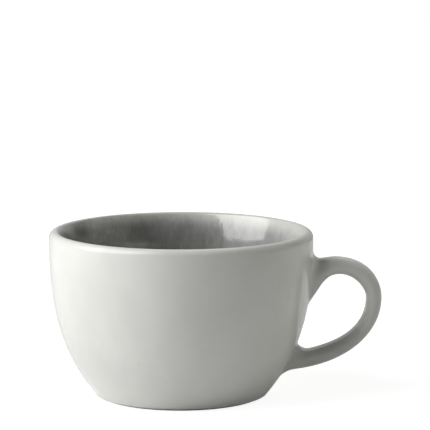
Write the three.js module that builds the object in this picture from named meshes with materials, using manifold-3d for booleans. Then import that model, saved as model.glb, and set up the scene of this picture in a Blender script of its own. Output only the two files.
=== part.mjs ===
// Cappuccino cup: a jiggered stoneware bowl and a cast strap handle, luted together with slip, glazed white
// outside and grey inside. Lengths are millimetres and angles are degrees. The bowl's axis is vertical, the
// cup stands on z = 0, and the handle points along +X.
import * as THREE from "three";
import { mergeVertices } from "three/addons/utils/BufferGeometryUtils.js";
import Module from "manifold-3d";

// Bowl, measured on the finished glaze
const rimRadius = 50;
const cupHeight = 63;
const lipOuterRound = 2.6;
const lipInnerRound = 1.4;
const glazeLineHeight = 0.8;
const glazeLineRadius = 32.65;
const wallFootAngle = 49.7;
const wallLowerPull = 22.6;
const wallUpperPull = 22.7;
const floorHeight = 6.8;
const floorFlatRadius = 20;
const floorPull = 20;
const rimLean = 24;
const rimPull = 4.5;
const throatDrop = 19;
const throatWall = 6.9;
const throatLean = 5;
const throatEntryPull = 9;
const throatExitPull = 20;

// Bare foot ring, and the glazed recess inside it
const footInset = 1.35;
const footEdgeRound = 0.7;
const footRingWidth = 4.8;
const recessDepth = 1.8;
const recessRound = 1;

// Handle, measured on the finished glaze
const handleReach = 26;
const handleDrop = 10.5;
const handleWidth = 9.6;
const rootSpread = 1.4;
const sectionSquareness = 3.6;
const crownReach = 8.6;
const crownLean = 1.2;
const elbowDrop = 15.5;
const strapAtCrown = 6.2;
const strapAtElbow = 5.8;
const shoulderDrop = 1.2;
const flareDrop = 26.3;
const flareAngle = 51;
const undersideHeight = 9.3;
const lowerRootHeight = 5.8;
const tailAngle = 7;
const rootDepth = 4;

// How far each stretch of the handle's two edges keeps its direction before it bends
const shoulderPull = 4.9;
const crownEntryPull = 2.75;
const crownExitPull = 9.65;
const elbowEntryPull = 9.5;
const elbowExitPull = 13.3;
const undersidePull = 27.6;
const flarePull = 16.8;
const innerCrownEntryPull = 7.1;
const innerCrownExitPull = 6.5;
const innerElbowEntryPull = 3;
const innerElbowExitPull = 8.4;
const tailPull = 28;

// Glaze coats, slip and fits
const glazeThickness = 0.4;
const lipGlazeAngle = 15;
const slipThickness = 1;
const slipReach = 1.9;
const slipFillet = 2.2;
const glazePooling = 0.7;
const seatGap = 0.1;

// Fineness of the curved faces
const turns = 48;
const wallSteps = 8;
const rimSteps = 4;
const lipSteps = 3;
const edgeSteps = 2;
const rootSteps = 12;
const bendSteps = 7;
const lowerRootShare = 0.75;
const sectionSides = 16;
const halvings = 40;

const { degToRad, radToDeg } = THREE.MathUtils;
const clayFace = -glazeThickness - seatGap;
const wallTop = cupHeight - lipOuterRound;
const lipCrest = rimRadius - lipOuterRound;
const throatHeight = cupHeight - throatDrop;
const glazeFillet = slipFillet - glazeThickness + glazePooling;
const footRadius = glazeLineRadius - footInset;
const recessRadius = footRadius - footRingWidth;

// Curves in the half plane of radius and height
const point = (r, z) => new THREE.Vector2(r, z);
const heading = (angle, length) =>
  point(Math.cos(degToRad(angle)), Math.sin(degToRad(angle))).multiplyScalar(length);
const line = (from, to) => new THREE.LineCurve(from, to);
const bend = (from, leave, arrive, to) =>
  new THREE.CubicBezierCurve(from, from.clone().add(leave), to.clone().sub(arrive), to);
const arc = (centre, radius, from, to) =>
  new THREE.EllipseCurve(centre.x, centre.y, radius, radius, degToRad(from), degToRad(to), to < from);

// The points of curves that follow each other, each curve given with its number of steps.
function trace(stretches) {
  const points = [stretches[0][0].getPoint(0)];
  for (const [curve, steps] of stretches) points.push(...curve.getPoints(steps).slice(1));
  return points;
}

// An outline that has the clay on its left, moved away from the clay by a distance. At each point the nearer
// neighbour has the more weight in the outline's direction there.
function offset(points, distance) {
  const towards = (from, to) => to.clone().sub(from).divideScalar(from.distanceToSquared(to));
  return points.map((here, i) => {
    const along = point(0, 0);
    if (i > 0) along.add(towards(points[i - 1], here));
    if (i < points.length - 1) along.add(towards(here, points[i + 1]));
    along.normalize();
    return point(here.x + along.y * distance, here.y - along.x * distance);
  });
}

// The bowl's outer wall, from the glaze line up to the lip
const wallCurve = bend(
  point(glazeLineRadius, glazeLineHeight),
  heading(wallFootAngle, wallLowerPull),
  point(0, wallUpperPull),
  point(rimRadius, wallTop),
);

// The finished wall at a height: its radius and its outward normal's two parts.
function wallAt(height) {
  let low = 0;
  let high = 1;
  for (let halving = 0; halving < halvings; halving += 1) {
    const middle = (low + high) / 2;
    if (wallCurve.getPoint(middle).y < height) low = middle;
    else high = middle;
  }
  const along = wallCurve.getTangent(low);
  return { radius: wallCurve.getPoint(low).x, normal: point(along.y, -along.x) };
}

// The inside flares at the rim, steepens to a throat that a wall's thickness sets, and sweeps to the floor.
const lipOuterCentre = point(lipCrest, wallTop);
const lipInnerCentre = point(lipCrest, cupHeight - lipInnerRound);
const rimEnd = lipInnerCentre.clone().add(heading(180 - rimLean, lipInnerRound));
const throat = point(wallAt(throatHeight).radius - throatWall, throatHeight);
const rimCurve = bend(
  rimEnd,
  heading(-90 - rimLean, rimPull),
  heading(-90 - throatLean, throatEntryPull),
  throat,
);
const floorCurve = bend(
  throat,
  heading(-90 - throatLean, throatExitPull),
  point(-floorPull, 0),
  point(floorFlatRadius, floorHeight),
);

// The bowl's outline: up the wall from the glaze line, over the lip and down the inside to the floor
const seamStart = 90 + lipGlazeAngle;
const seamEnd = seamStart + radToDeg(seatGap / lipInnerRound);
const outside = [
  [wallCurve, wallSteps],
  [arc(lipOuterCentre, lipOuterRound, 0, 90), lipSteps],
  [arc(lipInnerCentre, lipInnerRound, 90, seamStart), edgeSteps],
];
const seam = [[arc(lipInnerCentre, lipInnerRound, seamStart, seamEnd), 1]];
const inside = [
  [arc(lipInnerCentre, lipInnerRound, seamEnd, 180 - rimLean), edgeSteps],
  [rimCurve, rimSteps],
  [floorCurve, wallSteps],
  [line(point(floorFlatRadius, floorHeight), point(0, floorHeight)), 1],
];
const bowl = [...outside, ...seam, ...inside];
const seamPoint = trace(outside).length;
const recess = [
  [line(point(0, recessDepth), point(recessRadius - recessRound, recessDepth)), 1],
  [arc(point(recessRadius - recessRound, recessDepth - recessRound), recessRound, 90, 0), edgeSteps],
];

// The bare foot ring's rounded underside, from the recess to the wall.
function footOutline() {
  const ringInner = recessRadius - clayFace;
  return trace([
    [arc(point(ringInner + footEdgeRound, footEdgeRound), footEdgeRound, 180, 270), edgeSteps],
    [line(point(ringInner + footEdgeRound, 0), point(footRadius - footEdgeRound, 0)), 1],
    [arc(point(footRadius - footEdgeRound, footEdgeRound), footEdgeRound, 270, 360), edgeSteps],
  ]);
}

// Solids that can be joined and cut
const wasm = await Module();
wasm.setup();

function solidFrom(geometry) {
  geometry.deleteAttribute("normal");
  geometry.deleteAttribute("uv");
  const merged = mergeVertices(geometry);
  const corners = merged.index.array;
  const triangles = [];
  for (let i = 0; i < corners.length; i += 3) {
    const [a, b, c] = corners.slice(i, i + 3);
    if (a !== b && b !== c && c !== a) triangles.push(a, b, c);
  }
  const vertProperties = merged.getAttribute("position").array;
  const triVerts = new Uint32Array(triangles);
  return new wasm.Manifold(new wasm.Mesh({ numProp: 3, vertProperties, triVerts }));
}

function geometryFrom(solid) {
  const { vertProperties, triVerts } = solid.getMesh();
  const geometry = new THREE.BufferGeometry();
  geometry.setAttribute("position", new THREE.BufferAttribute(vertProperties, 3));
  geometry.setIndex(new THREE.BufferAttribute(triVerts, 1));
  geometry.computeVertexNormals();
  return geometry;
}

// A closed outline turned about the vertical axis.
function revolve(outline) {
  return solidFrom(new THREE.LatheGeometry([...outline, outline[0]], turns).rotateX(Math.PI / 2));
}

// The glaze on a run of an outline's points: a skin that reaches from them towards the clay.
function coat(stretches, from, to) {
  const face = trace(stretches);
  const back = offset(face, -glazeThickness);
  return revolve([...face.slice(from, to), ...back.slice(from, to).reverse()]);
}

// The bowl as a filled block, with its outer face moved outwards by a distance.
function bowlBlock(distance) {
  const face = offset(trace(outside), distance);
  return revolve([point(0, face[0].y), ...face, point(0, face.at(-1).y)]);
}

function clayBody() {
  return revolve([...offset(trace(recess), clayFace), ...footOutline(), ...offset(trace(bowl), clayFace)]);
}

// Handle edges in its own plane, from the upper root over the crown and the elbow to the lower root
const handleTop = cupHeight - handleDrop;
const inWall = (height) => point(wallAt(height).radius - rootDepth, height);
const shoulder = inWall(handleTop - shoulderDrop);
const crown = point(rimRadius + crownReach, handleTop);
const elbow = point(rimRadius + handleReach, handleTop - elbowDrop);
const underside = inWall(undersideHeight);
const flare = inWall(handleTop - flareDrop);
const innerCrown = point(crown.x + crownLean, crown.y - strapAtCrown);
const innerElbow = point(elbow.x - strapAtElbow, elbow.y);
const tail = inWall(undersideHeight + lowerRootHeight);
const handleStretches = [
  {
    outer: bend(shoulder, point(shoulderPull, 0), point(crownEntryPull, 0), crown),
    inner: bend(flare, heading(flareAngle, flarePull), point(innerCrownEntryPull, 0), innerCrown),
    shares: [[0, 1, rootSteps]],
  },
  {
    outer: bend(crown, point(crownExitPull, 0), point(0, -elbowEntryPull), elbow),
    inner: bend(innerCrown, point(innerCrownExitPull, 0), point(0, -innerElbowEntryPull), innerElbow),
    shares: [[0, 1, bendSteps]],
  },
  {
    outer: bend(elbow, point(0, -elbowExitPull), point(-undersidePull, 0), underside),
    inner: bend(innerElbow, point(0, -innerElbowExitPull), heading(tailAngle, -tailPull), tail),
    shares: [[0, lowerRootShare, bendSteps + 1], [lowerRootShare, 1, rootSteps]],
  },
];

// A point of one of the handle's edges, moved to its left by a distance.
function edgePoint(edge, share, distance) {
  const along = edge.getTangentAt(share);
  return edge.getPointAt(share).add(point(-along.y, along.x).multiplyScalar(distance));
}

// Cross-sections of the handle, moved outwards by a distance. Each is a ring of points on a soft rectangle,
// with the direction in which each point lies from the middle.
function handleSections(distance) {
  const places = [{ stretch: handleStretches[0], share: 0 }];
  for (const stretch of handleStretches) {
    for (const [from, to, steps] of stretch.shares) {
      for (let i = 1; i <= steps; i += 1) {
        places.push({ stretch, share: THREE.MathUtils.lerp(from, to, i / steps) });
      }
    }
  }
  return places.map(({ stretch, share }, i) => {
    const outer = edgePoint(stretch.outer, share, distance);
    const inner = edgePoint(stretch.inner, share, -distance);
    const across = outer.clone().sub(inner).divideScalar(2);
    const middle = inner.clone().add(across);
    const fromMiddle = (2 * i) / (places.length - 1) - 1;
    const halfWidth = (handleWidth + rootSpread * fromMiddle ** 2) / 2 + distance;
    return Array.from({ length: sectionSides }, (_, side) => {
      const angle = (2 * Math.PI * side) / sectionSides;
      const soften = (part) => Math.sign(part) * Math.abs(part) ** (2 / sectionSquareness);
      const [up, out] = [soften(Math.cos(angle)), soften(Math.sin(angle))];
      const place = new THREE.Vector3(middle.x + up * across.x, out * halfWidth, middle.y + up * across.y);
      const outwards = new THREE.Vector3(up * across.x, out * across.length(), up * across.y).normalize();
      return { place, outwards };
    });
  });
}

// How far a fillet stands off a face that leaves the wall at an angle, at a height above the wall.
function filletSwell(radius, angle, height) {
  const reach = radius * (1 + Math.cos(angle));
  if (height >= reach) return 0;
  const above = Math.max(height, 0);
  const hollow = Math.sqrt(radius ** 2 - (radius - above) ** 2);
  return Math.max(radius / Math.tan(angle / 2) - hollow - above / Math.tan(angle), 0);
}

// The same cross-sections, swollen near the wall so that the handle runs into it with a fillet.
function filletedSections(distance, radius) {
  const sections = handleSections(distance);
  const last = sections.length - 1;
  return sections.map((section, i) =>
    section.map(({ place, outwards }, side) => {
      const before = sections[Math.max(i - 1, 0)][side].place;
      const after = sections[Math.min(i + 1, last)][side].place;
      const away = after.clone().sub(before).normalize().multiplyScalar(2 * i < last ? 1 : -1);
      const wall = wallAt(place.z);
      const height = (Math.hypot(place.x, place.y) - wall.radius) * wall.normal.x - distance;
      const swell = filletSwell(radius, away.angleTo(outwards), height);
      return { place: place.clone().addScaledVector(outwards, swell), outwards };
    }),
  );
}

// A closed solid through a row of cross-sections.
function loft(sections) {
  const positions = sections.flat().flatMap(({ place }) => place.toArray());
  const indices = [];
  for (let row = 0; row < sections.length - 1; row += 1) {
    for (let side = 0; side < sectionSides; side += 1) {
      const here = row * sectionSides + side;
      const beside = row * sectionSides + ((side + 1) % sectionSides);
      indices.push(here, here + sectionSides, beside, beside, here + sectionSides, beside + sectionSides);
    }
  }
  const lastRow = (sections.length - 1) * sectionSides;
  for (let side = 1; side < sectionSides - 1; side += 1) {
    indices.push(0, side, side + 1, lastRow, lastRow + side + 1, lastRow + side);
  }
  const geometry = new THREE.BufferGeometry();
  geometry.setAttribute("position", new THREE.Float32BufferAttribute(positions, 3));
  geometry.setIndex(indices);
  return solidFrom(geometry);
}

// The bare handle ends a bed of slip away from the wall.
function clayHandle(distance) {
  const bed = clayFace + 2 * seatGap + slipThickness - distance;
  return loft(handleSections(clayFace + distance)).subtract(bowlBlock(bed));
}

// The slip at one root: a bed between the handle's end and the wall, wiped up round the handle as a fillet.
function slipJoint(pick) {
  const sections = filletedSections(clayFace, slipFillet);
  return loft(pick(sections, Math.floor(sections.length / 2)))
    .intersect(bowlBlock(clayFace + slipReach))
    .subtract(bowlBlock(clayFace + seatGap))
    .subtract(clayHandle(seatGap));
}

// One unbroken skin over the wall, the lip, the slip and the handle.
function outerGlaze() {
  const handleFace = loft(filletedSections(0, glazeFillet));
  const handleBack = loft(filletedSections(-glazeThickness, slipFillet));
  return coat(bowl, 0, seamPoint).add(handleFace.subtract(bowlBlock(-glazeThickness))).subtract(handleBack);
}

const stoneware = { color: 0xc9bda6, roughness: 0.85 };
const slip = { color: 0xc2b69f, roughness: 0.9 };
const whiteGlaze = { color: 0xe6e7e1, roughness: 0.22 };
const greyGlaze = { color: 0x6f706d, roughness: 0.2 };

function piece(name, solid, finish) {
  const material = new THREE.MeshStandardMaterial({ ...finish, metalness: 0 });
  const mesh = new THREE.Mesh(geometryFrom(solid), material);
  mesh.name = name;
  return mesh;
}

const upperHalf = (sections, middle) => sections.slice(0, middle);
const lowerHalf = (sections, middle) => sections.slice(middle);

const pieces = new THREE.Group();
pieces.add(
  piece("clay_body", clayBody(), stoneware),
  piece("clay_handle", clayHandle(0), stoneware),
  piece("upper_slip_joint", slipJoint(upperHalf), slip),
  piece("lower_slip_joint", slipJoint(lowerHalf), slip),
  piece("outer_glaze", outerGlaze(), whiteGlaze),
  piece("inner_glaze", coat(bowl, seamPoint), greyGlaze),
  piece("base_glaze", coat(recess), whiteGlaze),
);

// The origin is on the table, midway between the bowl's far side and the handle's tip.
pieces.position.x = -handleReach / 2;
const cup = new THREE.Group();
cup.add(pieces);

export default cup;
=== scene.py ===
# %% [markdown]
# # A cappuccino cup, glazed white outside and grey inside
# The cup is a stoneware bowl with a strap handle, dipped in a white glaze and lined with a grey one.
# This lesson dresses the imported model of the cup: it keeps the model's frame and sizes, and replaces the
# coats and the clay bowl by smooth pieces with glaze, clay and slip materials. Lengths are written in
# millimetres, as a potter would, and turned into metres when a piece is placed.

# %% The frame
import math
import bmesh
import bpy
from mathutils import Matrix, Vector


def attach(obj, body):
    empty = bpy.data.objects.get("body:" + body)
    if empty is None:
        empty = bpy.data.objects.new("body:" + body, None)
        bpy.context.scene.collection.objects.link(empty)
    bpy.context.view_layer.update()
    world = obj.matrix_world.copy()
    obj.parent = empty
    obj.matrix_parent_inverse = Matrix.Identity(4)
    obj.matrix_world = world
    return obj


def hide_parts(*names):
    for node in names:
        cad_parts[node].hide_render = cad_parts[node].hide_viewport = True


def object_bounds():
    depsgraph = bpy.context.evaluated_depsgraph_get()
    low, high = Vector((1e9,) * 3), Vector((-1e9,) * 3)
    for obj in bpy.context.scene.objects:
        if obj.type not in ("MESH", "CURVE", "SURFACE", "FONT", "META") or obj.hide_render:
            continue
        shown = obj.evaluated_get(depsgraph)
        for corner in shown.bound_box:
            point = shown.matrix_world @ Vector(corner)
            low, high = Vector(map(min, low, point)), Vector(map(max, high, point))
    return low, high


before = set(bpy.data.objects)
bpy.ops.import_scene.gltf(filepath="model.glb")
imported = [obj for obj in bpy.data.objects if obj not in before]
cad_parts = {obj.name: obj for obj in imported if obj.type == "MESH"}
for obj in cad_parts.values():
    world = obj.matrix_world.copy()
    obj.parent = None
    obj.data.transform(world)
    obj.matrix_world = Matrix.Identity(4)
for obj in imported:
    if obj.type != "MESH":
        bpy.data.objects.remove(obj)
cad_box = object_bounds()
MM = 0.001
RIM_RADIUS = 50
AXIS = cad_box[0].x / MM + RIM_RADIUS
print("nodes:", sorted(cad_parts))
print("the bowl's axis stands at x =", round(AXIS, 2), "mm")

# %% [markdown]
# ## Curves for the outlines
# Every outline of the cup is a row of points, each given by a radius and a height. The rows could be drawn
# as Blender curves and converted to meshes. Short functions give the same points and let a row be spaced
# as each piece needs it, so functions are used here.

# %% Curve helpers
def arrow(angle, length):
    """A step in radius and height, from a direction in degrees and a length."""
    return Vector((math.cos(math.radians(angle)), math.sin(math.radians(angle)))) * length


def cubic(start, leave, arrive, end, steps=48):
    """Points of a curve that leaves start along one arrow and arrives at end along another."""
    corners = [Vector(start), Vector(start) + Vector(leave), Vector(end) - Vector(arrive), Vector(end)]
    row = []
    for step in range(steps + 1):
        t = step / steps
        shares = [(1 - t) ** 3, 3 * t * (1 - t) ** 2, 3 * t ** 2 * (1 - t), t ** 3]
        row.append(sum((share * corner for share, corner in zip(shares, corners)), Vector((0, 0))))
    return row


def arc(centre, radius, first, last, steps):
    """Points of a circle from one angle to another, in degrees."""
    angles = [first + (last - first) * step / steps for step in range(steps + 1)]
    return [Vector(centre) + arrow(angle, radius) for angle in angles]


def along(row, share):
    """The point at a share of a row's length."""
    lengths = [(b - a).length for a, b in zip(row, row[1:])]
    left = share * sum(lengths)
    for (a, b), length in zip(zip(row, row[1:]), lengths):
        if left <= length:
            return a.lerp(b, left / length)
        left -= length
    return row[-1].copy()


def even(row, steps):
    """Points that lie at even distances along a row."""
    return [along(row, step / steps) for step in range(steps + 1)]


trial = even(cubic((0, 0), (1, 0), (0, 1), (2, 2)), 2)
print("the middle of a trial curve:", [round(part, 2) for part in trial[1]])

# %% [markdown]
# ## The bowl's outline
# The wall rises from the glaze line just above the foot, swells, and stands upright under a rolled lip. It
# could be traced point by point, but one cubic curve and two arcs stay smooth with few values. The rows of
# the wall are closer where the handle will join it, because its roots are cut into whole rows.

# %% Wall and lip outline
GLAZE_LINE, FOOT_FLARE = Vector((32.65, 0.8)), arrow(49.7, 22.6)
WALL_TOP, TOP_RISE = Vector((RIM_RADIUS, 60.4)), (0, 22.7)
wall_curve = cubic(GLAZE_LINE, FOOT_FLARE, TOP_RISE, WALL_TOP, 400)


def wall_radius(height):
    """The finished wall's radius at a height."""
    for a, b in zip(wall_curve, wall_curve[1:]):
        if height <= b.y:
            return a.x + (b.x - a.x) * (height - a.y) / (b.y - a.y)
    return WALL_TOP.x


def heights(first, last, rows):
    """Even heights from the first up to, and without, the last."""
    return [first + (last - first) * row / rows for row in range(rows)]


LOW_ROOT, HIGH_ROOT = (6.6, 21.0), (33.6, 55.6)
rows = heights(GLAZE_LINE.y, LOW_ROOT[0], 3) + heights(*LOW_ROOT, 8)
rows += heights(LOW_ROOT[1], HIGH_ROOT[0], 6) + heights(*HIGH_ROOT, 10)
rows += heights(HIGH_ROOT[1], WALL_TOP.y, 3)
LIP_ROUND, INNER_ROUND = 2.6, 1.4
LIP = WALL_TOP - Vector((LIP_ROUND, 0))
INNER_LIP = LIP + Vector((0, LIP_ROUND - INNER_ROUND))
# The white glaze meets the grey one at this angle of the inner arc.
SEAM = 105
outer_outline = [Vector((wall_radius(height), height)) for height in rows]
outer_outline += arc(LIP, LIP_ROUND, 0, 90, 7)
outer_outline += arc(INNER_LIP, INNER_ROUND, 90, SEAM, 2)[1:]
print("outer outline:", len(outer_outline), "points, top", round(max(p.y for p in outer_outline), 2), "mm")

# %% [markdown]
# ## Turning an outline on the wheel
# A bowl is made on a wheel, so it is modelled by turning its outline about the upright axis. A screw
# modifier could do that, but the spin operator leaves plain faces that can be cut at once. A plane merged
# to one vertex is the pen: it is extruded from point to point, and the chain of edges is then spun round.

# %% Wheel
# Points closer than this are one point.
TOUCHING = 0.002
COLUMNS = 96


def start_piece(name):
    """A new object in edit mode, holding one plane that is the start of a piece."""
    bpy.ops.object.select_all(action="DESELECT")
    bpy.ops.mesh.primitive_plane_add(size=MM, location=(0, 0, 0))
    piece = bpy.context.object
    piece.name = name
    piece.data.name = name
    bpy.ops.object.mode_set(mode="EDIT")
    bpy.ops.mesh.select_mode(type="VERT")
    bpy.ops.mesh.select_all(action="SELECT")
    return piece


def spot(point):
    """A point of an outline as a place in the handle's plane, in metres."""
    return Vector(((AXIS + point.x) * MM, 0, point.y * MM))


def turn(name, outline, columns, turn_over=False):
    """Spins an outline into a skin whose faces look away from the clay, turned over where that is needed."""
    piece = start_piece(name)
    bpy.ops.mesh.merge(type="CENTER")
    bpy.ops.transform.translate(value=spot(outline[0]))
    for here, there in zip(outline, outline[1:]):
        bpy.ops.mesh.extrude_region_move(TRANSFORM_OT_translate={"value": spot(there) - spot(here)})
    bpy.ops.mesh.select_all(action="SELECT")
    bpy.ops.mesh.spin(steps=columns, angle=math.tau, center=(AXIS * MM, 0, 0), axis=(0, 0, 1))
    bpy.ops.mesh.select_all(action="SELECT")
    bpy.ops.mesh.remove_doubles(threshold=TOUCHING * MM)
    bpy.ops.mesh.normals_make_consistent(inside=turn_over)
    print(name, "turned:", len(outline), "rows of", columns)
    return piece


glaze = turn("glaze_outside", outer_outline, COLUMNS)

# %% [markdown]
# ## Two openings for the handle's roots
# On the real cup the handle is luted to the wall with slip, and the corner is wiped to a smooth fillet. A
# boolean could join two closed shapes, but it leaves a hard corner. For one unbroken skin, whole faces of
# the wall are taken out where a root lands. The edge of each opening has as many corners as a ring of the
# handle, so that the two can be bridged with clean four-sided faces.

# %% Openings
def choose(piece, kind, test):
    """Selects only the vertices, edges or faces that pass a test, and counts them."""
    bpy.ops.mesh.select_mode(type=kind)
    bpy.ops.mesh.select_all(action="DESELECT")
    mesh = bmesh.from_edit_mesh(piece.data)
    parts = {"VERT": mesh.verts, "EDGE": mesh.edges, "FACE": mesh.faces}[kind]
    chosen = [part for part in parts if test(part)]
    for part in chosen:
        part.select_set(True)
    mesh.select_flush_mode()
    bmesh.update_edit_mesh(piece.data)
    return len(chosen)


def bearing(place):
    """The angle round the bowl's axis, in degrees, with the handle at 0."""
    return math.degrees(math.atan2(place.y, place.x - AXIS * MM))


def open_root(piece, root, half_columns):
    """Takes out the wall's faces between two heights and the same number of columns on both sides."""
    reach = half_columns * 360 / COLUMNS

    def in_root(face):
        middle = face.calc_center_median()
        return root[0] * MM < middle.z < root[1] * MM and abs(bearing(middle)) < reach

    count = choose(piece, "FACE", in_root)
    bpy.ops.mesh.delete(type="FACE")
    print("faces taken out for a root:", count)


open_root(glaze, HIGH_ROOT, half_columns=2)
open_root(glaze, LOW_ROOT, half_columns=3)

# %% [markdown]
# ## The handle's two edges
# The handle is a strap, cast by itself. Seen from the side it has an outer and an inner edge, which both
# start and end inside the wall. A bevelled curve could make a strap of even thickness, but this one flares
# at its upper root, so both edges are drawn. Each ring of the strap will reach from one to the other.

# %% Handle edges
ROOT_DEPTH = 4
FINE_STEPS = 200


def in_wall(height):
    """A point inside the wall, where an edge of the handle starts or ends."""
    return Vector((wall_radius(height) - ROOT_DEPTH, height))


crown, inner_crown = Vector((58.6, 52.5)), Vector((59.8, 46.3))
elbow, inner_elbow = Vector((76, 37)), Vector((70.2, 37))
shoulder, flare = in_wall(51.3), in_wall(26.2)
underside, tail = in_wall(9.3), in_wall(15.1)
stretches = [
    (cubic(shoulder, (4.9, 0), (2.75, 0), crown, FINE_STEPS),
     cubic(flare, arrow(51, 16.8), (7.1, 0), inner_crown, FINE_STEPS)),
    (cubic(crown, (9.65, 0), (0, -9.5), elbow, FINE_STEPS),
     cubic(inner_crown, (6.5, 0), (0, -3), inner_elbow, FINE_STEPS)),
    (cubic(elbow, (0, -13.3), (-27.6, 0), underside, FINE_STEPS),
     cubic(inner_elbow, (0, -8.4), arrow(7, -28), tail, FINE_STEPS)),
]
print("the handle reaches", elbow.x, "mm from the bowl's axis")

# %% Handle stations
# The strap stands clear of its fillets beyond these radii, at its outer and its inner edge.
HIGH_CLEAR, LOW_CLEAR = (53.0, 50.9), (42.6, 48.6)
STRETCH_STEPS = (7, 14, 18)


def clear_of_wall(stretch, radii):
    """The parts of a stretch's two edges that lie beyond a radius each."""
    return [[point for point in edge if point.x >= radius] for edge, radius in zip(stretch, radii)]


stretches[0] = clear_of_wall(stretches[0], HIGH_CLEAR)
stretches[2] = clear_of_wall(stretches[2], LOW_CLEAR)
stations = []
for (outer, inner), steps in zip(stretches, STRETCH_STEPS):
    pairs = list(zip(even(outer, steps), even(inner, steps)))
    stations += pairs if not stations else pairs[1:]
print("handle stations:", len(stations))

# %% [markdown]
# ## The handle as a row of rings
# The strap's section is a softly rounded rectangle, a little wider at the roots. A ring starts as a plane
# whose corners are bevelled, high above the bowl, where it is easy to select. It is then extruded, turned
# upright, sized, tilted and moved, station by station, as one would do by hand. A lofting add-on could do
# the same, but these few moves need nothing that Blender does not come with.

# %% Ring start
RING_THICK, RING_WIDE, RING_CORNER = 6.0, 9.6, 2.5
PARKED = 0.2


def parked(vertex):
    """Whether a vertex belongs to the new ring above the bowl."""
    return vertex.co.z > PARKED / 2


def straight_side(edge):
    """Whether an edge of the new ring lies along one of its two directions."""
    first, second = edge.verts
    reach = second.co - first.co
    return parked(first) and min(abs(reach.x), abs(reach.y)) < 0.01 * MM


bpy.ops.mesh.select_all(action="DESELECT")
bpy.ops.mesh.primitive_plane_add(size=MM, location=(0, 0, PARKED))
bpy.ops.transform.resize(value=(RING_THICK, RING_WIDE, 1))
bpy.ops.mesh.bevel(offset=RING_CORNER * MM, segments=3, affect="VERTICES")
bpy.ops.mesh.delete(type="ONLY_FACE")
long_edges = choose(glaze, "EDGE", straight_side)
bpy.ops.mesh.subdivide(number_cuts=3)
ring_corners = choose(glaze, "VERT", parked)
bpy.ops.transform.translate(value=spot(Vector((0, 0))) - Vector((0, 0, PARKED)))
print("ring:", ring_corners, "corners, from", long_edges, "straight sides")

# %% Handle rings
ROOT_WIDENING = 1.4


def ring_shape(station, share):
    """A ring's middle, tilt, thickness and width, at a share of the row of rings."""
    outer, inner = station
    across = outer - inner
    width = RING_WIDE + ROOT_WIDENING * (2 * share - 1) ** 4
    return (outer + inner) / 2, math.atan2(across.y, across.x), across.length, width


def place_ring(old, new):
    """Takes the selected ring from one shape to another."""
    (middle, tilt, thick, wide), (new_middle, new_tilt, new_thick, new_wide) = old, new
    here = spot(middle)
    bpy.ops.transform.rotate(value=-tilt, orient_axis="Y", center_override=here)
    bpy.ops.transform.resize(value=(new_thick / thick, new_wide / wide, 1), center_override=here)
    bpy.ops.transform.rotate(value=new_tilt, orient_axis="Y", center_override=here)
    bpy.ops.transform.translate(value=spot(new_middle) - here)


last = len(stations) - 1
shape = (Vector((0, 0)), 0.0, RING_THICK, RING_WIDE)
for number, station in enumerate(stations):
    following = ring_shape(station, number / last)
    if number:
        bpy.ops.mesh.extrude_region_move(TRANSFORM_OT_translate={"value": (0, 0, 0)})
    place_ring(shape, following)
    shape = following
print("handle rings:", len(stations), "faces so far:", len(bmesh.from_edit_mesh(glaze.data).faces))

# %% [markdown]
# ## Bridging the roots
# Each root ends in a fillet, as wide as a wet finger leaves it. A bevel on a sharp corner could stand for
# it, but there is no such corner here. Each opening takes the shape of the ring it faces, enlarged on the
# wall by the width of the fillet, and a bridge with a blended surface then joins the two edges.

# %% Root bridges
HIGH_FILLET, LOW_FILLET = (34.2, 55.4), (6.9, 20.7)
FILLET_HALF_WIDTH = 7.8
# An opening lies within the first bearing, in degrees, and the second is about half its width.
OPENING_REACH, OPENING_HALF = 14, 8


def bridge_root(piece, shape, wall_span, half_width):
    """Shapes one opening after the ring that faces it, and bridges them."""
    middle, tilt, thick, wide = shape
    centre = spot(middle)
    out = Vector((math.cos(tilt), 0, math.sin(tilt)))
    mid_height, half_height = sum(wall_span) / 2, (wall_span[1] - wall_span[0]) / 2
    upright = 1 if out.z > 0 else -1

    def near_ring(place):
        in_plane = abs((place - centre).cross(out).y) < 0.1 * MM
        return in_plane and (place - centre).length < (thick / 2 + 1.5) * MM

    def near_opening(place):
        radius = math.hypot(place.x - AXIS * MM, place.y)
        on_wall = abs(radius - wall_radius(place.z / MM) * MM) < 0.05 * MM
        in_span = (wall_span[0] - 1) * MM < place.z < (wall_span[1] + 1) * MM
        return on_wall and in_span and abs(bearing(place)) < OPENING_REACH

    def height_share(vertex):
        return (vertex.co - centre).dot(out) / (thick / 2 * MM) * upright

    def width_share(vertex):
        return vertex.co.y / (wide / 2 * MM)

    def round_ring(vertex):
        return math.atan2(width_share(vertex), height_share(vertex))

    def round_opening(vertex):
        return math.atan2(bearing(vertex.co) / OPENING_HALF, (vertex.co.z / MM - mid_height) / half_height)

    mesh = bmesh.from_edit_mesh(piece.data)
    ring = [v for v in mesh.verts if v.is_boundary and near_ring(v.co)]
    opening = [v for v in mesh.verts if v.is_boundary and near_opening(v.co)]
    for vertex, model in zip(sorted(opening, key=round_opening), sorted(ring, key=round_ring)):
        height = mid_height + height_share(model) * half_height
        radius = wall_radius(height)
        turned = width_share(model) * half_width / radius
        vertex.co = ((AXIS + radius * math.cos(turned)) * MM, radius * math.sin(turned) * MM, height * MM)
    bmesh.update_edit_mesh(piece.data)
    marks = {v.index for v in ring + opening}
    chosen = choose(piece, "EDGE", lambda e: e.is_boundary and all(v.index in marks for v in e.verts))
    bpy.ops.mesh.bridge_edge_loops(number_cuts=6, interpolation="SURFACE", smoothness=0.6)
    print("ring and opening:", len(ring), len(opening), "edges bridged:", chosen)


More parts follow.
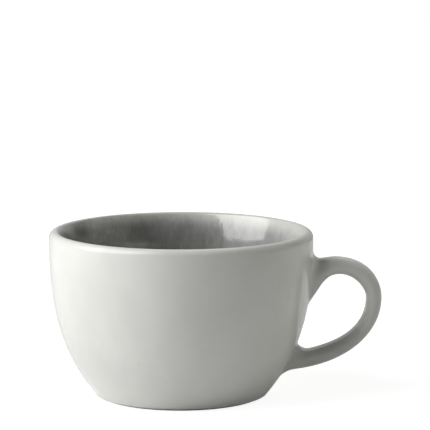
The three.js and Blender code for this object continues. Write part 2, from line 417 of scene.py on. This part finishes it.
bridge_root(glaze, ring_shape(stations[0], 0), HIGH_FILLET, FILLET_HALF_WIDTH)
bridge_root(glaze, ring_shape(stations[-1], 1), LOW_FILLET, FILLET_HALF_WIDTH)
bpy.ops.mesh.select_all(action="SELECT")
bpy.ops.mesh.normals_make_consistent(inside=False)
bpy.ops.object.mode_set(mode="OBJECT")
print("glaze cage faces:", len(glaze.data.polygons))

# %% [markdown]
# ## From a cage to a coat
# A glaze is a thin layer of glass, here 0.4 mm. One step of subdivision rounds the faces of the cage, and a
# solidified back turns the skin into a coat with an edge at the glaze line and at the lip. The modifiers
# could stay live, but they are applied, so that the exported mesh is the one that is seen.

# %% Coat
COAT = 0.4
SMOOTH_ANGLE = math.radians(40)


def work_on(piece):
    """Makes a piece the only selected one."""
    bpy.ops.object.select_all(action="DESELECT")
    bpy.context.view_layer.objects.active = piece
    piece.select_set(True)


def apply(piece, kind, **settings):
    """Adds a modifier, sets it and applies it."""
    work_on(piece)
    modifier = piece.modifiers.new(kind.lower(), kind)
    for name, value in settings.items():
        setattr(modifier, name, value)
    bpy.ops.object.modifier_apply(modifier=modifier.name)


def smooth(piece):
    """Shades a piece smooth, but for its sharp edges."""
    work_on(piece)
    bpy.ops.object.shade_smooth_by_angle(angle=SMOOTH_ANGLE)
    print(piece.name, "faces:", len(piece.data.polygons))


def coat(piece):
    """Gives a glaze skin its thickness, towards the clay."""
    apply(piece, "SOLIDIFY", thickness=COAT * MM, offset=-1)
    smooth(piece)


apply(glaze, "SUBSURF", levels=1, render_levels=1)
coat(glaze)

# %% [markdown]
# ## The grey lining
# The inside is lined with a second glaze. Its outline starts on the lip where the white one ends, leans in
# as a drinking edge does, steepens in a throat, and sweeps round to a flat floor. It could be an inward
# offset of the wall, but the wall is thicker below than at the lip, so the lining has a curve of its own.
# It has twice the columns of the outside, because it is turned without a step of subdivision.

# %% Lining
RIM_LEAN, THROAT_LEAN = 24, 5
THROAT, FLOOR_EDGE = Vector((42.45, 44)), Vector((20, 6.8))
FLOOR_RADII = (17, 14, 11, 8, 5.5, 3.5, 2, 0.8, 0)
rim_end = INNER_LIP + arrow(180 - RIM_LEAN, INNER_ROUND)
rim_curve = cubic(rim_end, arrow(-90 - RIM_LEAN, 4.5), arrow(-90 - THROAT_LEAN, 9), THROAT)
side_curve = cubic(THROAT, arrow(-90 - THROAT_LEAN, 20), (-20, 0), FLOOR_EDGE)
lining = arc(INNER_LIP, INNER_ROUND, SEAM, 180 - RIM_LEAN, 6)
lining += even(rim_curve, 20)[1:]
lining += even(side_curve, 30)[1:]
lining += [Vector((radius, FLOOR_EDGE.y)) for radius in FLOOR_RADII]
liner = turn("glaze_inside", lining, 2 * COLUMNS)
bpy.ops.object.mode_set(mode="OBJECT")
coat(liner)

# %% [markdown]
# ## The bare clay
# Only the foot ring of the clay shows: the potter sponges the glaze off it, so that the cup does not stick
# to the kiln shelf. The ring alone could be modelled, but then nothing would fill the wall behind the glaze
# when the cup is cut open. So the whole bowl is turned in one outline, half a millimetre behind the glaze,
# and ends in a ring with worn, rounded edges.

# %% Clay bowl
CLAY_DEPTH = 0.5
RECESS_RADIUS, RECESS_HEIGHT, RECESS_ROUND = 26.5, 1.8, 1.0
RECESS_RADII = (0, 4, 10, 16, 21, 24)
FOOT_ROUND = 0.7
FOOT_INSIDE, FOOT_MIDDLE, FOOT_OUTSIDE = 27.7, 29.1, 30.6


def behind(outline, depth):
    """An outline moved towards the clay on its left."""
    moved = []
    for number, here in enumerate(outline):
        before, after = outline[max(number - 1, 0)], outline[min(number + 1, len(outline) - 1)]
        direction = (after - before).normalized()
        moved.append(here + Vector((-direction.y, direction.x)) * depth)
    return moved


recess = [Vector((radius, RECESS_HEIGHT)) for radius in RECESS_RADII]
recess += arc((RECESS_RADIUS - RECESS_ROUND, RECESS_HEIGHT - RECESS_ROUND), RECESS_ROUND, 90, 0, 5)
foot = arc((FOOT_INSIDE, FOOT_ROUND), FOOT_ROUND, 180, 270, 5) + [Vector((FOOT_MIDDLE, 0))]
foot += arc((FOOT_OUTSIDE, FOOT_ROUND), FOOT_ROUND, 270, 360, 5)
clay_outline = behind(recess, CLAY_DEPTH) + foot
clay_outline += behind(outer_outline[1:], CLAY_DEPTH) + behind(lining[1:-1], CLAY_DEPTH)
clay_outline[0].x = 0
clay_outline.append(Vector((0, clay_outline[-1].y)))
clay = turn("bare_bowl", clay_outline, COLUMNS)
bpy.ops.object.mode_set(mode="OBJECT")
smooth(clay)

# %% [markdown]
# ## The glaze in the foot's recess
# The recess inside the ring never touches the shelf, so it keeps its white glaze. It could be left out, as
# it only shows from below, but a cup is often turned over. The recess's outline is already there, so it is
# turned once more and gets a coat like the others.

# %% Recess coat
base = turn("glaze_underneath", recess, COLUMNS, turn_over=True)
bpy.ops.object.mode_set(mode="OBJECT")
coat(base)

# %% [markdown]
# ## Sums of sockets
# A glaze is never one flat tone, so its material is a graph of nodes. Clicking many Math nodes together by
# hand works, but is slow to read. A small class wraps a socket instead: adding or multiplying two of them
# adds the Math node that does it.

# %% Value of a socket
class Value:
    """A socket that adds a Math node when it is used in an expression."""

    def __init__(self, finish, socket):
        self.finish, self.socket = finish, socket

    def math(self, operation, *terms):
        return self.finish.node("ShaderNodeMath", {"operation": operation}, dict(enumerate(terms)))

    def __add__(self, other):
        return self.math("ADD", self, other)

    def __sub__(self, other):
        return self.math("SUBTRACT", self, other)

    def __rsub__(self, other):
        return self.math("SUBTRACT", other, self)

    def __mul__(self, other):
        return self.math("MULTIPLY", self, other)

    def __pow__(self, other):
        return self.math("POWER", self, other)

    __radd__ = __add__
    __rmul__ = __mul__


# %% [markdown]
# ## Finishes built node by node
# Glaze, clay, floor and room all need the same few nodes: noise, a smooth step, a mix of two colours, a
# bump. Each could be set up by hand in the shader editor. Here one method makes any node from its type, its
# settings and its inputs, and short methods name the ones that come back often.

# %% Finish
class Finish:
    """A material, or the world, built node by node."""

    def __init__(self, owner, coordinates="Object"):
        self.owner = bpy.data.materials.new(owner) if isinstance(owner, str) else owner
        self.owner.use_nodes = True
        self.tree = self.owner.node_tree
        self.tree.nodes.clear()
        self.place = self.node("ShaderNodeTexCoord", output=coordinates)
        self.axes = {}

    def node(self, kind, settings=None, inputs=None, output=0):
        """Adds a node with its settings, then its input values or links, and returns one output, if any."""
        made = self.tree.nodes.new(kind)
        for name, value in (settings or {}).items():
            setattr(made, name, value)
        for name, value in (inputs or {}).items():
            if isinstance(value, Value):
                self.tree.links.new(value.socket, made.inputs[name])
            else:
                made.inputs[name].default_value = value
        return Value(self, made.outputs[output]) if len(made.outputs) else None

    def axis(self, letter):
        """One coordinate, in metres on a surface, or as a part of a direction in the world."""
        if letter not in self.axes:
            self.axes[letter] = self.node("ShaderNodeSeparateXYZ", inputs={0: self.place}, output=letter)
        return self.axes[letter]

    def step(self, value, low, high):
        """A smooth step from 0 at low to 1 at high."""
        return self.node("ShaderNodeMapRange", {"interpolation_type": "SMOOTHSTEP"},
                         {"Value": value, "From Min": low, "From Max": high})

    def stretched(self, scale):
        """Coordinates for a pattern that is longer one way than another."""
        return self.node("ShaderNodeMapping", inputs={"Vector": self.place, "Scale": scale})

    def noise(self, scale, detail=3, roughness=0.5, place=None, distortion=0):
        inputs = {"Vector": place or self.place, "Scale": scale, "Detail": detail, "Roughness": roughness,
                  "Distortion": distortion}
        return self.node("ShaderNodeTexNoise", inputs=inputs)

    def mix(self, share, first, second):
        """A colour between two others."""
        colours = [shade if isinstance(shade, Value) else (*shade, 1) for shade in (first, second)]
        return self.node("ShaderNodeMix", {"data_type": "RGBA"}, {0: share, 6: colours[0], 7: colours[1]}, 2)

    def bump(self, height, strength, distance):
        inputs = {"Height": height, "Strength": strength, "Distance": distance}
        return self.node("ShaderNodeBump", inputs=inputs)

    def rays(self):
        """Whether a ray comes from the camera, and whether it is mirrored or passes through glass."""
        seen, shine, through = [self.node("ShaderNodeLightPath", output="Is " + kind + " Ray")
                                for kind in ("Camera", "Glossy", "Transmission")]
        return seen, shine.math("MAXIMUM", shine, through)

    def surface(self, **inputs):
        """The finished shader on the material's output."""
        named = {name.replace("_", " "): value for name, value in inputs.items()}
        self.end("ShaderNodeOutputMaterial", self.node("ShaderNodeBsdfPrincipled", inputs=named))

    def end(self, kind, shader):
        """Links a shader to the output node."""
        self.node(kind, inputs={"Surface": shader})
        print("finish", self.owner.name, "has", len(self.tree.nodes), "nodes")


# %% [markdown]
# ## White glaze
# A satin-gloss stoneware white, a little warm and green. It is never one tone: it lies thicker in some
# places, shows fine specks of iron from the clay, and turns brownish in its lowest millimetre, just above
# the bare foot. Its gloss has a faint orange peel. All of that could be painted on a texture, but noise on
# the object's own coordinates has no seam and stays sharp close up.

# %% White glaze finish
THIN_WHITE, FULL_WHITE = (0.708, 0.712, 0.688), (0.76, 0.764, 0.74)
IRON, FOOT_BROWN = (0.36, 0.33, 0.27), (0.24, 0.21, 0.14)
SPECK_SCALE = 330.0
PEEL_DEPTH = 0.0001
white = Finish("white_glaze")
cloud = white.noise(28, 4, 0.6)
tone = white.mix(white.step(cloud, 0.35, 0.68), THIN_WHITE, FULL_WHITE)
cells = {"Vector": white.place, "Scale": SPECK_SCALE}
specks = white.node("ShaderNodeTexVoronoi", {"feature": "F1"}, cells, "Distance")
speck_field = white.step(white.noise(120, 2), 0.6, 0.7)
speck = (1 - white.step(specks, 0.08, 0.2)) * speck_field * 0.18
tone = white.mix(speck, tone, IRON)
# Darker and browner in the lowest millimetre above the glaze line.
foot_edge = (1 - white.step(white.axis("Z") + (cloud - 0.5) * 0.0004, 0.0006, 0.0013)) * 0.3
tone = white.mix(foot_edge, tone, FOOT_BROWN)
peel = white.noise(420, 2, 0.5) + white.noise(60, 2, 0.5) * 1.5
white.surface(Base_Color=tone, Roughness=0.07 + white.noise(90, 3) * 0.06, IOR=1.5,
              Normal=white.bump(peel, 0.15, PEEL_DEPTH))

# %% [markdown]
# ## Grey lining glaze
# A reactive glaze: it runs down the wall in fine streaks, breaks pale where it thins over the lip, and
# gathers in specks and soft crystals. Its colour also holds painted light and shade: it is darker on the
# side away from the handle, where the lining faces away from the softbox, and paler towards the handle,
# where the softbox lights it, and its pale edge reaches lower there as painted light. It is glassy and
# finely rippled under a hazy skin, so the base of the shader is sharp with a bump, and its coat is rough.
# One rough layer would lose the mirrored edges of the lamps. The streaks are noise on coordinates
# squeezed along the height, which has no seam.

# %% Grey glaze finish
DEEP_GREY, PALE_GREY = (0.172, 0.176, 0.156), (0.31, 0.305, 0.312)
RUN_GREY, STREAK_GREY = (0.13, 0.13, 0.125), (0.42, 0.42, 0.425)
CRYSTAL_GREY, LIP_GREY = (0.46, 0.465, 0.45), (0.61, 0.62, 0.58)
RIPPLE_DEPTH = 0.0001
grey = Finish("grey_glaze")
cloud = grey.noise(45, 4, 0.6)
strokes = grey.noise(1100, 3, 0.6, grey.stretched((1, 1, 0.2)))
drips = grey.noise(240, 3, 0.55, grey.stretched((1, 1, 0.25)), 0.3)
grain = grey.noise(1700, 2, 0.6)
# Painted light and shade: the colour turns paler with x, towards the handle where the softbox lights the
# lining, and darker on the far side, which lies in shade.
body = grey.mix(grey.step(cloud + grey.axis("X") * 6, 0.2, 0.62), DEEP_GREY, PALE_GREY)
body = grey.mix((1 - grey.step(drips, 0.34, 0.56)) * 0.3, body, RUN_GREY)
streak = grey.step(strokes, 0.52, 0.74) * grey.step(drips, 0.35, 0.6) * 0.4
body = grey.mix(streak, body, STREAK_GREY)
body = grey.mix(grey.step(grain, 0.55, 0.8) * 0.18, body, CRYSTAL_GREY)
# Painted light: the pale edge reaches lower towards the handle, where the lining is lit.
edge = grey.axis("Z") + (grey.axis("X") - AXIS * MM) * 0.03
pale_lip_and_painted_light = grey.step(edge + (strokes - 0.5) * 0.0022 + (drips - 0.5) * 0.0018, 0.0558, 0.063)
body = grey.mix(pale_lip_and_painted_light ** 1.6, body, LIP_GREY)
ripple = grey.bump(grey.noise(1000, 0) * 2 + grey.noise(300, 1), 0.15, RIPPLE_DEPTH)
grey.surface(Base_Color=body, Roughness=0.04 + grain * 0.03, IOR=1.6, Normal=ripple,
             Coat_Weight=1, Coat_Roughness=0.36, Coat_IOR=1.55)

# %% [markdown]
# ## Bare clay and slip
# Fired stoneware is matt, sandy and warm, with dark and pale grains. The slip in the joints is the same clay
# without the sand, so it is finer and a little paler. All but the foot is hidden and could be left plain,
# but one function finishes both, so a cut through the cup looks right too.

# %% Clay finishes
GRIT_DEPTH = 0.0003


def clay_finish(name, dark, pale, sand):
    """A matt clay with sand of a given scale."""
    finish = Finish(name)
    grit = finish.noise(sand, 3, 0.7)
    tone = finish.mix(finish.step(finish.noise(70, 4, 0.6), 0.35, 0.65), dark, pale)
    tone = finish.mix(finish.step(grit, 0.6, 0.72) * 0.5, tone, tuple(0.55 * part for part in dark))
    finish.surface(Base_Color=tone, Roughness=0.82 + grit * 0.12, Normal=finish.bump(grit, 0.35, GRIT_DEPTH))
    return finish


stoneware = clay_finish("bare_stoneware", (0.40, 0.33, 0.235), (0.52, 0.445, 0.335), sand=1400)
slip = clay_finish("slip", (0.46, 0.39, 0.29), (0.56, 0.49, 0.38), sand=2600)

# %% [markdown]
# ## Dressing the model
# Each new piece gets its finish, rides on the model's one body, and stands for the node that it replaces.
# The handle's clay and the slip joints could be modelled anew as well, but they lie under the glaze, so
# they stay as they were packed and only get their finish.

# %% Pieces to nodes
for piece, node, slot, finish in [
    (glaze, "outer_glaze", "white_glaze", white),
    (liner, "inner_glaze", "grey_glaze", grey),
    (base, "base_glaze", "white_glaze", white),
    (clay, "clay_body", "bare_stoneware", stoneware),
]:
    piece.data.materials.clear()
    piece.data.materials.append(finish.owner)
    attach(piece, "root")
    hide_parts(node)
for node, finish in [("clay_handle", stoneware), ("upper_slip_joint", slip), ("lower_slip_joint", slip)]:
    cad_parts[node].data.materials.clear()
    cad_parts[node].data.materials.append(finish.owner)

# %% [markdown]
# ## Floor
# The cup stands on a pale sheet that is white to the camera and still keeps a soft shadow. A bright lamp on
# the sheet could whiten it, but would also light the cup. So the sheet adds a glow that only the camera
# sees, a faint one that shows in the gloss, and a matt part that takes the shadow and lights the cup from
# below.

# %% Floor
def plain(level):
    """A grey of one level."""
    return (level, level, level)


bpy.ops.object.select_all(action="DESELECT")
bpy.ops.mesh.primitive_plane_add(size=8, location=(0, 0, 0))
floor = bpy.context.object
floor.name = "floor"
sweep = Finish("pale_floor")
seen, mirrored = sweep.rays()
matt = sweep.node("ShaderNodeBsdfDiffuse", inputs={"Color": sweep.mix(seen, plain(0.82), plain(0.3))})
away = sweep.node("ShaderNodeVectorMath", {"operation": "LENGTH"}, {0: sweep.place}, "Value")
paper = sweep.mix(sweep.step(away, 0.2, 0.8), plain(0.9), plain(1))
shine = sweep.mix(mirrored, plain(0), plain(0.1))
glow = sweep.node("ShaderNodeEmission", inputs={"Color": sweep.mix(seen, shine, paper)})
sweep.end("ShaderNodeOutputMaterial", sweep.node("ShaderNodeAddShader", inputs={0: matt, 1: glow}))
floor.data.materials.append(sweep.owner)

# %% [markdown]
# ## Surroundings
# A studio's walls show as white behind the cup. In the gloss of the glaze they show as a pale sheet behind
# the cup and near darkness elsewhere, which gives the lining its deep tones. Walls could be modelled, but
# the world's shader can tell which kind of ray asks, and lights the cup with no more than a trace of grey.

# %% World
world = bpy.data.worlds.new("studio")
bpy.context.scene.world = world
room = Finish(world, "Generated")
seen, mirrored = room.rays()
behind_cup = room.step(room.axis("Y") - room.axis("X") * 0.3, 0.3, 0.45)
backdrop = room.mix(behind_cup, plain(0.03), plain(0.5))
shade = room.mix(mirrored, plain(0.01), backdrop)
sky = room.node("ShaderNodeBackground", inputs={"Color": room.mix(seen, shade, plain(1))})
room.end("ShaderNodeOutputWorld", sky)
bpy.context.scene.view_settings.view_transform = "Standard"

# %% [markdown]
# ## Studio light
# One large softbox stands to the left and a little in front, above the cup, and leans over. Its image makes
# the bright bar on the lip and the pale patch on the far lining. A low lamp on the left only brightens the
# lower wall, a card on the right only shows in the gloss, and one further back on the right only lights
# the top and the edge of the handle. Glowing planes could do the same, but area lamps give less noise, and
# each can be hidden from gloss or from the matt surfaces.

# %% Lamps
LAMP_AIM = Vector((AXIS * MM, 0, 0.045))
SOFT_WHITE, CARD_WHITE, EDGE_WHITE = (1, 1, 0.985), (1, 1, 0.97), (0.99, 1, 0.91)


def panel(name, bearing_left, elevation, size, power, shade, lean=0):
    """A soft rectangular lamp a metre from the cup, at an angle left of the camera and above the floor."""
    lamp = bpy.data.lights.new(name, "AREA")
    lamp.shape = "RECTANGLE"
    lamp.size, lamp.size_y = size
    lamp.energy = power
    lamp.color = shade
    stand = bpy.data.objects.new(name, lamp)
    bpy.context.scene.collection.objects.link(stand)
    side, up = math.radians(bearing_left), math.radians(elevation)
    towards = Vector((-math.sin(side) * math.cos(up), -math.cos(side) * math.cos(up), math.sin(up)))
    stand.location = LAMP_AIM + towards
    facing = towards.to_track_quat("Z", "Y").to_euler()
    facing.rotate_axis("Z", math.radians(lean))
    stand.rotation_euler = facing
    print(name, "stands at", [round(part, 2) for part in stand.location])
    return stand


panel("softbox", 73.5, 38, (0.97, 1.15), 13.7, SOFT_WHITE, lean=8)
panel("side_lamp", 88, 6, (0.6, 0.5), 2.0, SOFT_WHITE).visible_glossy = False
panel("card", -84, 25, (0.97, 0.7), 0.92, CARD_WHITE).visible_diffuse = False
panel("edge_card", -105, 28, (0.6, 0.5), 2.7, EDGE_WHITE).visible_glossy = False

# %% [markdown]
# ## Camera
# The photograph is taken from a metre away with a long lens, ten and a half degrees above the table, with
# the handle in profile. The cup sits low and to the left in the frame. The lens could be shifted for that,
# but a shift would stay in every other view, so the camera is turned a little instead.

# %% Camera
FRAME_PIXELS, FOCAL_PIXELS = 430, 2631.1
DISTANCE, AIM_HEIGHT, ELEVATION = 1000, 30, math.radians(10.47)
RIGHT_PIXELS, UP_PIXELS = 34.24, 100.74
camera_data = bpy.data.cameras.new("camera")
camera_data.lens = camera_data.sensor_width * FOCAL_PIXELS / FRAME_PIXELS
camera = bpy.data.objects.new("camera", camera_data)
bpy.context.scene.collection.objects.link(camera)
back, height = DISTANCE * math.cos(ELEVATION), AIM_HEIGHT + DISTANCE * math.sin(ELEVATION)
camera.location = Vector((AXIS, -back, height)) * MM
pitch = math.pi / 2 - ELEVATION + math.atan(UP_PIXELS / FOCAL_PIXELS)
camera.rotation_euler = (pitch, 0, -math.atan(RIGHT_PIXELS / FOCAL_PIXELS))
bpy.context.scene.camera = camera
print("camera:", round(camera_data.lens, 1), "mm lens, at", [round(part, 3) for part in camera.location])
